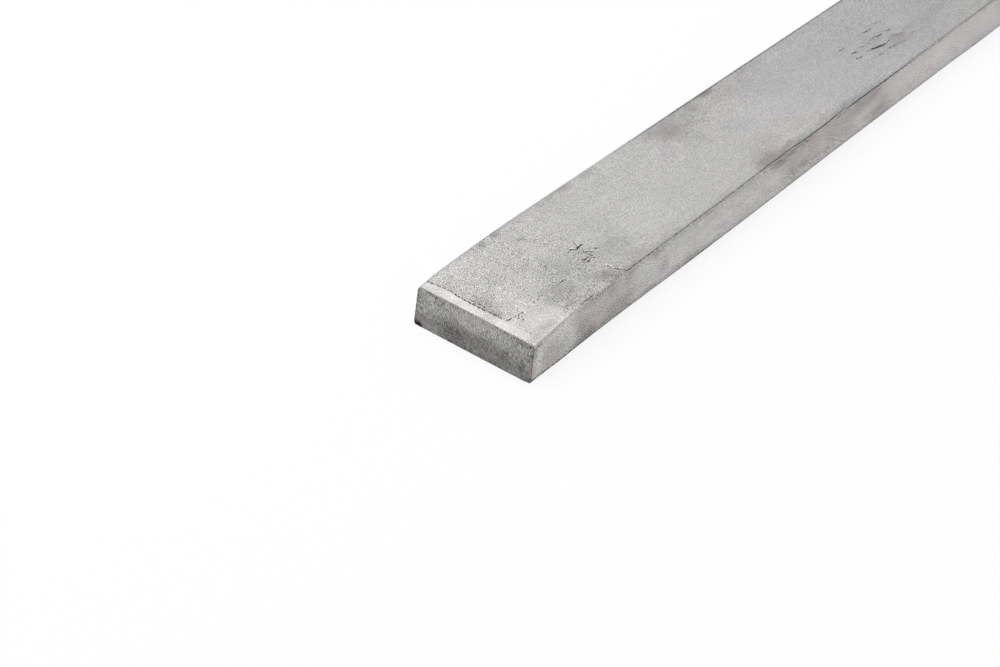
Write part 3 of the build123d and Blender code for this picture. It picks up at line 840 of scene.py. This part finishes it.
class Skin:
    """The bar's mesh while it is sheared and marked."""

    def __init__(self, shape):
        self.shape = shape
        self.end = ShearedEnd(shape)
        self.mesh = plain_block(shape)
        self.split_off_breaks()
        self.shear_ends()
        self.refine()
        self.put_marks_on()

    def split_off_breaks(self):
        """Gives both ends the break's material, with sharp edges around them."""
        self.mesh.normal_update()
        for face in self.mesh.faces:
            if abs(face.normal.x) > 0.5:
                face.material_index = BREAK_MATERIAL
        for edge in self.mesh.edges:
            if len({face.material_index for face in edge.link_faces}) > 1:
                edge.smooth = False

    def shear_ends(self):
        """Presses the near end, and the far one as its half turn."""
        for vertex in self.mesh.verts:
            if vertex.co.x < middle.x:
                vertex.co = self.end.press(vertex.co)
            else:
                vertex.co = turned_over(self.end.press(turned_over(vertex.co)))
        bmesh.ops.recalc_face_normals(self.mesh, faces=self.mesh.faces)

    def refine(self):
        """Makes the mesh finer under the fine marks and all over the near break."""
        for near, right, far, left, cuts in FINE_AREAS:
            chosen = []
            for face in self.mesh.faces:
                centre = face.calc_center_median()
                along, across = (centre.x - bar_low.x) / MM, centre.y / MM
                if near < along < far and right < across < left and face.normal.z > 0.7:
                    chosen.append(face)
            self.subdivide(chosen, cuts)
        at_near_break = []
        for face in self.mesh.faces:
            if face.material_index == BREAK_MATERIAL and face.calc_center_median().x < middle.x:
                at_near_break.append(face)
        self.subdivide(at_near_break, 1)

    def subdivide(self, faces, cuts):
        """Cuts each edge of some faces a number of times."""
        edges = list({edge for face in faces for edge in face.edges})
        bmesh.ops.subdivide_edges(self.mesh, edges=edges, cuts=cuts, use_grid_fill=True)

    def put_marks_on(self):
        """Writes each mark's strength to the mesh's layers, and hollows the mesh where it is deep."""
        layers = {name: self.mesh.verts.layers.float.new(name) for name in LAYERS}
        self.mesh.normal_update()
        hollows = {}
        for vertex in self.mesh.verts:
            materials = {face.material_index for face in vertex.link_faces}
            if BREAK_MATERIAL in materials:
                marks = self.marks_on_break(vertex, on_rim=len(materials) > 1)
                direction = Vector((-1 if vertex.co.x < middle.x else 1, 0, 0))
            else:
                marks = self.marks_on_face(vertex)
                direction = vertex.normal
            for name, layer in layers.items():
                vertex[layer] = marks.get(name, 0.0)
            hollows[vertex] = direction * self.depth(vertex.co, marks)
        for vertex, hollow in hollows.items():
            place = vertex.co - hollow
            vertex.co = [min(max(place[n], bar_low[n]), bar_high[n]) for n in range(3)]

    def marks_on_break(self, vertex, on_rim):
        """Marks of a vertex of either break."""
        place = vertex.co if vertex.co.x < middle.x else turned_over(vertex.co)
        marks = break_marks(place.y / MM, (place.z - bar_low.z) / MM)
        if on_rim:
            at_corner = place.y < MM - HALF_WIDTH
            marks["relief"] = 0.0
            # Dark lines on the break's edges; along the edge of the cut, painted shadow under the burr
            marks["dirt"] = max(marks["dirt"], BREAK_CORNER_DIRT if at_corner else BREAK_RIM_DIRT)
        return marks

    def marks_on_face(self, vertex):
        """Marks of a vertex of a rolled face."""
        place, normal = vertex.co, vertex.normal
        along, across = (place.x - bar_low.x) / MM, place.y / MM
        height = (place.z - bar_low.z) / MM
        listed = smooth_step(LISTED_END + LISTED_FADE, LISTED_END, along)
        facing_right = smooth_step(*FACING, -normal.y)
        upper = listed * smooth_step(*FACING, normal.z)
        edge = listed * facing_right
        found = [(1 - upper - edge, plain_marks(place))]
        if upper > 0:
            found.append((upper, upper_marks(along, across)))
            # Painted shade along the edge of the cut, for the shadow of its burr
            behind_cut = along - self.end.setback / MM
            found.append((upper, {"shade": CUT_RIM_SHADE * smooth_step(*CUT_RIM_REACH, behind_cut)}))
        if edge > 0:
            found.append((edge, edge_marks(along, height)))
        if normal.z > 0.3 and normal.y < -0.05:
            found.append((1.0, seam_marks(along, across)))
        # Painted shadow along the foot of the edge face
        if normal.y < -0.3 and height < 1:
            found.append((listed, foot_marks(along, height)))
        marks = {}
        for share, part in found:
            for name, value in part.items():
                marks[name] = marks.get(name, 0.0) + share * value
        # Painted highlight on the rounded upper right edge
        marks["shade"] -= ARRIS_SHINE * listed * on_arris(normal)
        grain = FACE_GRAIN + NEAR_GRAIN * smooth_step(*NEAR_GRAIN_ENDS, along)
        grain += FAR_GRAIN * smooth_step(*FAR_GRAIN_STARTS, along)
        grain *= 1 - RUBBED_GRAIN * marks.get("rubbed", 0.0) - marks.get("calm", 0.0)
        marks["grain"] = grain + (between(EDGE_GRAIN, along) - grain) * facing_right
        return marks

    def depth(self, place, marks):
        """How deep the skin is hollowed at a place."""
        shape = self.shape
        wave = noise.noise([place[n] / (WAVE_SIZES[n] * MM) for n in range(3)])
        return (
            (0.5 + 0.5 * wave) * shape.wave
            + marks.get("scratch", 0.0) * shape.scratch_depth
            + marks.get("seam", 0.0) * shape.seam_depth
            + marks.get("relief", 0.0) * shape.torn_relief
        )


class FLATBAR_OT_bar(bpy.types.Operator):
    """Models the bar's skin, with its sheared ends and its marks, and puts the steel on it"""

    bl_idname = "flatbar.bar"
    bl_label = "Model the bar"

    def execute(self, context):
        noise.seed_set(WANDER_SEED)
        skin = Skin(context.scene.bar_shape).mesh
        mesh = bpy.data.meshes.new("bar_skin")
        skin.to_mesh(mesh)
        skin.free()
        for polygon in mesh.polygons:
            polygon.use_smooth = True
        finish = context.scene.bar_finish
        mesh.materials.append(pickled_steel(finish))
        mesh.materials.append(sheared_steel(finish))
        bar = bpy.data.objects.new("bar_skin", mesh)
        context.scene.collection.objects.link(bar)
        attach(bar, BODY)
        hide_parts(NODE)
        return {"FINISHED"}


def add_node(tree, kind, inputs=None, **settings):
    """Adds a node to the tree. An input is another node's socket, which is linked, or a value."""
    node = tree.nodes.new(kind)
    for name, value in settings.items():
        setattr(node, name, value)
    for key, value in (inputs or {}).items():
        if isinstance(value, bpy.types.NodeSocket):
            tree.links.new(value, node.inputs[key])
        else:
            node.inputs[key].default_value = value
    return node


# A Mix node's sockets, which go by number because those for numbers and colours share their names
MIX_SHARE = 0
MIX_NUMBERS = (2, 3)
MIX_COLOURS = (6, 7)
MIX_COLOUR = 2
# Noise keeps to this range, and is spread over the second one
NOISE_RANGE = {"From Min": 0.3, "From Max": 0.7, "To Min": -0.5, "To Max": 0.5}
DIRT_RANGE = {"From Min": 0.42, "From Max": 0.85}  # from no dots of dirt to dirt all over


def steel_shader(name, roughness, marks):
    """A new material of bare steel: itself, its node tree, its shader and its marks' strengths."""
    material = bpy.data.materials.new(name)
    material.use_nodes = True
    tree = material.node_tree
    shader = tree.nodes["Principled BSDF"]
    shader.inputs["Metallic"].default_value = 1.0
    shader.inputs["Roughness"].default_value = roughness
    layer = {}
    for mark in marks:
        layer[mark] = add_node(tree, "ShaderNodeAttribute", attribute_name=mark).outputs["Fac"]
    return material, tree, shader, layer


def pattern(tree, place, size, stretch=(1.0, 1.0, 1.0), **settings):
    """A noise pattern of a size in metres, stretched along the axes, from -0.5 to 0.5."""
    scale = [1 / (size * along) for along in stretch]
    scaled = add_node(tree, "ShaderNodeMapping", {"Vector": place, "Scale": scale}, vector_type="POINT")
    spots = add_node(tree, "ShaderNodeTexNoise", {"Vector": scaled.outputs[0], "Scale": 1.0, **settings})
    return add_node(tree, "ShaderNodeMapRange", {"Value": spots.outputs[0], **NOISE_RANGE}).outputs[0]


def weighted_sum(tree, start, terms):
    """A socket with start plus each (socket, weight) of the terms."""
    result = start
    for socket, weight in terms:
        sockets = {0: socket, 1: weight, 2: result}
        result = add_node(tree, "ShaderNodeMath", sockets, operation="MULTIPLY_ADD").outputs[0]
    return result


def covered(tree, colour, coats, clamp=True):
    """The colour once each coat, a (socket of its share, colour), has gone over it."""
    under, over = MIX_COLOURS
    for share, coat in coats:
        sockets = {MIX_SHARE: share, under: colour, over: coat}
        mix = add_node(tree, "ShaderNodeMix", sockets, data_type="RGBA", clamp_factor=clamp)
        colour = mix.outputs[MIX_COLOUR]
    return colour


def soiled(tree, place, dirt):
    """Share of the dirt's colour, which also paints shadow: where there is some it lies in dots, and then
    all over.
    """
    # The real dots are 0.1 mm, and are drawn coarser to show
    dots = pattern(tree, place, 0.18 * MM, Detail=0.0)
    level = weighted_sum(tree, 0.0, ((dots, 0.9), (dirt, 1.0)))
    return add_node(tree, "ShaderNodeMapRange", {"Value": level, **DIRT_RANGE}).outputs[0]


def films(layer, finish):
    """The films of oxide, each with its share and its colour."""
    return [(layer[name], getattr(finish, name)) for name in ("oxide", "blush", "haze")]


def pickled_steel(finish):
    """Hot-rolled stainless steel, pickled in acid.

    The acid takes off the scale and eats the grain edges, so the metal is matt and light grey, with
    a fine grain all over, soft clouds, and thin brown and pink films where it bit less.
    """
    marks = ("shade", "oxide", "blush", "haze", "dirt", "grain", "rubbed")
    material, tree, shader, layer = steel_shader("Pickled hot-rolled steel", finish.roughness, marks)
    place = add_node(tree, "ShaderNodeTexCoord").outputs["Object"]
    # The real grain is 0.1 mm, and is drawn coarser to show
    grain = pattern(tree, place, finish.grain_size, Detail=0.0)
    specks = pattern(tree, place, 0.8 * MM, Detail=3.0, Roughness=0.65)
    clouds = pattern(tree, place, 9 * MM, (1.6, 1.0, 1.0), Detail=2.0)
    streaks = pattern(tree, place, 2.2 * MM, (18.0, 1.0, 1.0), Detail=2.0)
    local_grain = add_node(tree, "ShaderNodeMath", {0: grain, 1: layer["grain"]}, operation="MULTIPLY")
    spots = ((local_grain.outputs[0], 1.35), (clouds, 0.12), (streaks, 0.07), (specks, 0.06))
    tone = weighted_sum(tree, 0.38, (*spots, (layer["shade"], 1.0)))
    steel = covered(tree, finish.light_steel, ((tone, finish.dark_steel),), clamp=False)
    rubbed = weighted_sum(tree, 0.0, ((layer["rubbed"], 0.3),))
    dirt = soiled(tree, place, layer["dirt"])
    over = (*films(layer, finish), (rubbed, finish.rubbed), (dirt, finish.dirt))
    colour = covered(tree, steel, over)
    tree.links.new(colour, shader.inputs["Base Color"])
    acid_etched, blade_rubbed = MIX_NUMBERS
    sockets = {
        MIX_SHARE: layer["rubbed"],
        acid_etched: finish.roughness,
        blade_rubbed: finish.rubbed_roughness,
    }
    roughness = add_node(tree, "ShaderNodeMix", sockets)
    tree.links.new(roughness.outputs[0], shader.inputs["Roughness"])
    bump = add_node(tree, "ShaderNodeBump", {"Height": grain, "Distance": finish.grain_height})
    tree.links.new(bump.outputs[0], shader.inputs["Normal"])
    return material


def sheared_steel(finish):
    """Bare steel of the break.

    The blade's side burnishes the upper part with fine upright strokes, and the lower part tears
    off darker and rough.
    """
    marks = ("shade", "oxide", "blush", "haze", "dirt", "grain", "torn")
    material, tree, shader, layer = steel_shader("Sheared steel", finish.torn_roughness, marks)
    place = add_node(tree, "ShaderNodeTexCoord").outputs["Object"]
    # The real strokes and tears are under 0.1 mm, and are drawn coarser to show
    strokes = pattern(tree, place, 0.14 * MM, (3.0, 1.0, 4.0), Detail=0.0)
    tears = pattern(tree, place, 0.15 * MM, Detail=0.0)
    clouds = pattern(tree, place, 2.5 * MM, Detail=3.0)
    rough = weighted_sum(tree, 0.0, ((strokes, 1.55), (tears, 0.75)))
    local_rough = add_node(tree, "ShaderNodeMath", {0: rough, 1: layer["grain"]}, operation="MULTIPLY")
    spots = ((local_rough.outputs[0], 1.0), (clouds, 0.2))
    tone = weighted_sum(tree, 0.0, (*spots, (layer["torn"], 0.68), (layer["shade"], 1.0)))
    steel = covered(tree, finish.cut_steel, ((tone, finish.torn_steel),), clamp=False)
    dirt = soiled(tree, place, layer["dirt"])
    colour = covered(tree, steel, (*films(layer, finish), (dirt, finish.dirt)))
    tree.links.new(colour, shader.inputs["Base Color"])
    height = weighted_sum(tree, 0.0, ((strokes, 0.3), (tears, 1.0)))
    bump = add_node(tree, "ShaderNodeBump", {"Height": height, "Distance": 1.5 * finish.grain_height})
    tree.links.new(bump.outputs[0], shader.inputs["Normal"])
    return material


LAMP_SIZE = 0.8
LAMP_PLACE = (bar_low.x, 0.25, 0.8)
FLOOR_HALF_SIZE = 8.0
FLOOR_GLOW = 0.85  # how bright the floor looks, where 1 is white
CAMERA_PLACE = Vector((-456.443, -182.274, 217.374)) * MM
CAMERA_TILT = 37.65
CAMERA_TURN = -49.759
SENSOR_WIDTH = 36.0


class FLATBAR_OT_studio(bpy.types.Operator):
    """Makes the floor, the light and the camera"""

    bl_idname = "flatbar.studio"
    bl_label = "Set up the studio"

    def execute(self, context):
        scene = context.scene
        setup = scene.studio_setup
        scene.view_settings.view_transform = "Standard"

        world = bpy.data.worlds.new("Soft dome")
        scene.world = world
        world.use_nodes = True
        background = world.node_tree.nodes["Background"]
        background.inputs["Color"].default_value = (1, 1, 1, 1)
        background.inputs["Strength"].default_value = setup.dome_level

        lamp = bpy.data.lights.new("Overhead lamp", "AREA")
        lamp.shape = "SQUARE"
        lamp.size = LAMP_SIZE
        lamp.energy = setup.key_watts
        overhead = bpy.data.objects.new("overhead_lamp", lamp)
        overhead.location = LAMP_PLACE
        scene.collection.objects.link(overhead)

        grid = bmesh.new()
        bmesh.ops.create_grid(grid, x_segments=1, y_segments=1, size=FLOOR_HALF_SIZE)
        mesh = bpy.data.meshes.new("studio_floor")
        grid.to_mesh(mesh)
        grid.free()
        floor = bpy.data.objects.new("studio_floor", mesh)
        scene.collection.objects.link(floor)
        mesh.materials.append(floor_paint(setup))

        camera_data = bpy.data.cameras.new("camera")
        camera_data.lens = setup.focal_length
        camera_data.sensor_width = SENSOR_WIDTH
        camera = bpy.data.objects.new("camera", camera_data)
        camera.location = CAMERA_PLACE
        camera.rotation_euler = (math.radians(90 - CAMERA_TILT), 0.0, math.radians(CAMERA_TURN))
        scene.collection.objects.link(camera)
        scene.camera = camera
        return {"FINISHED"}


def floor_paint(setup):
    """Matt white paint, which takes the bar's shadow and looks nearly white to the camera."""
    material = bpy.data.materials.new("Matt white paint")
    material.use_nodes = True
    tree = material.node_tree
    tree.nodes.clear()
    diffuse = add_node(tree, "ShaderNodeBsdfDiffuse", {"Color": setup.floor_colour})
    glow = add_node(tree, "ShaderNodeEmission", {"Color": (1, 1, 1, 1), "Strength": 1.0})
    path = add_node(tree, "ShaderNodeLightPath")
    rays = ("Is Camera Ray", "Is Glossy Ray", "Is Transmission Ray")
    share = weighted_sum(tree, 0.0, [(path.outputs[ray], FLOOR_GLOW) for ray in rays])
    mixed = add_node(tree, "ShaderNodeMixShader", {0: share, 1: diffuse.outputs[0], 2: glow.outputs[0]})
    add_node(tree, "ShaderNodeOutputMaterial", {"Surface": mixed.outputs[0]})
    return material


class FLATBAR_PT_panel(bpy.types.Panel):
    """Lists the bar's and the studio's settings and the buttons that make them"""

    bl_idname = "FLATBAR_PT_panel"
    bl_label = "Flat bar"
    bl_space_type = "VIEW_3D"
    bl_region_type = "UI"
    bl_category = "Flat bar"

    def draw(self, context):
        for group, operator in (
            (context.scene.bar_shape, FLATBAR_OT_bar),
            (context.scene.bar_finish, None),
            (context.scene.studio_setup, FLATBAR_OT_studio),
        ):
            box = self.layout.box()
            for name in group.__annotations__:
                box.prop(group, name)
            if operator:
                box.operator(operator.bl_idname)


GROUPS = {"bar_shape": BarShape, "bar_finish": BarFinish, "studio_setup": StudioSetup}
CLASSES = (*GROUPS.values(), FLATBAR_OT_bar, FLATBAR_OT_studio, FLATBAR_PT_panel)


def register():
    for cls in CLASSES:
        bpy.utils.register_class(cls)
    for name, group in GROUPS.items():
        setattr(bpy.types.Scene, name, bpy.props.PointerProperty(type=group))


def unregister():
    for name in GROUPS:
        delattr(bpy.types.Scene, name)
    for cls in reversed(CLASSES):
        bpy.utils.unregister_class(cls)


def main():
    register()
    bpy.ops.flatbar.bar()
    bpy.ops.flatbar.studio()


if __name__ == "__main__":
    main()
